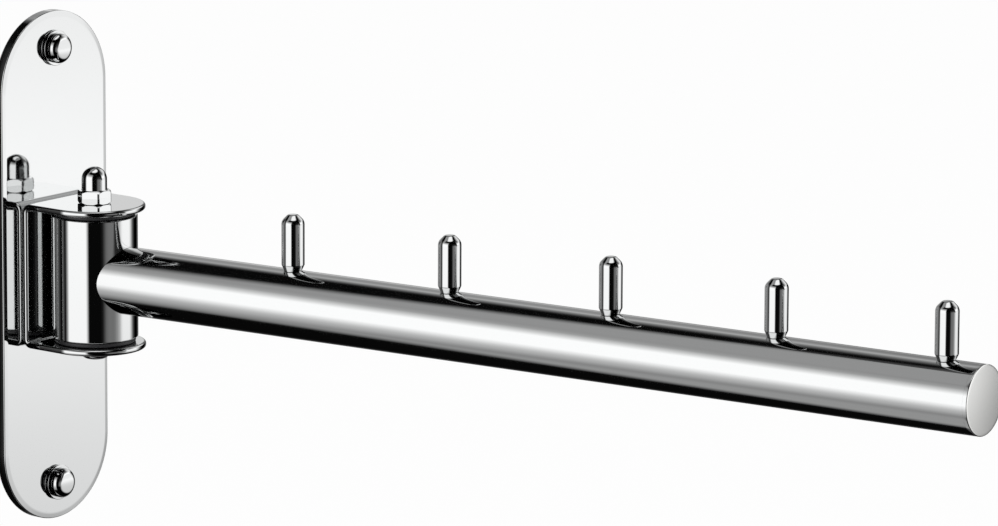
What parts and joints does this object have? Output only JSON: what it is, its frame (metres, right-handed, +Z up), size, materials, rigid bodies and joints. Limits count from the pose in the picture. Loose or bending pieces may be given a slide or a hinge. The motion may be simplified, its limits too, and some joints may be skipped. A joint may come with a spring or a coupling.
{
  "type": "swing arm clothes hanger",
  "caption": "Wall-mounted swing arm hanger: a polished steel tube arm with upright studs, hinged on a bolt in a bent bracket on a stadium-shaped wall plate.",
  "frame": {"origin": "centre of the wall plate's back face, on the wall plane", "axes": "+Z up the plate's long way, -Y out from the wall, +X to the right as seen from in front"},
  "size_m": [0.0666, 0.3686, 0.168],
  "materials": {
    "polished_steel": "mirror polished",
    "satin_steel": "fine satin",
    "plain_steel": "plain turned",
    "nylon": "moulded"
  },
  "bodies": {
    "wall_mount": {"cap_nut": "polished_steel", "cover_washer_lower": "polished_steel", "cover_washer_upper": "polished_steel", "hinge_bolt": "polished_steel", "hinge_bracket": "polished_steel", "pivot_sleeve": "plain_steel", "screw_cover_lower": "polished_steel", "screw_cover_upper": "polished_steel", "wall_plate": "polished_steel", "wall_screw_lower": "plain_steel", "wall_screw_upper": "plain_steel"},
    "swing_arm": {"hinge_barrel": "polished_steel", "upper_bush": "nylon", "lower_bush": "nylon", "arm_tube": "polished_steel", "arm_end_cap": "satin_steel", "hook_stud_1": "polished_steel", "hook_stud_2": "polished_steel", "hook_stud_3": "polished_steel", "hook_stud_4": "polished_steel", "hook_stud_5": "polished_steel"}
  },
  "joints": [
    {"name": "arm_swing", "type": "hinge", "parent": "wall_mount", "child": "swing_arm", "pos_m": [0, -0.021, -0.0008], "axis": [0, 0, 1], "range_deg": [-95.3, 84.7]}
  ]
}
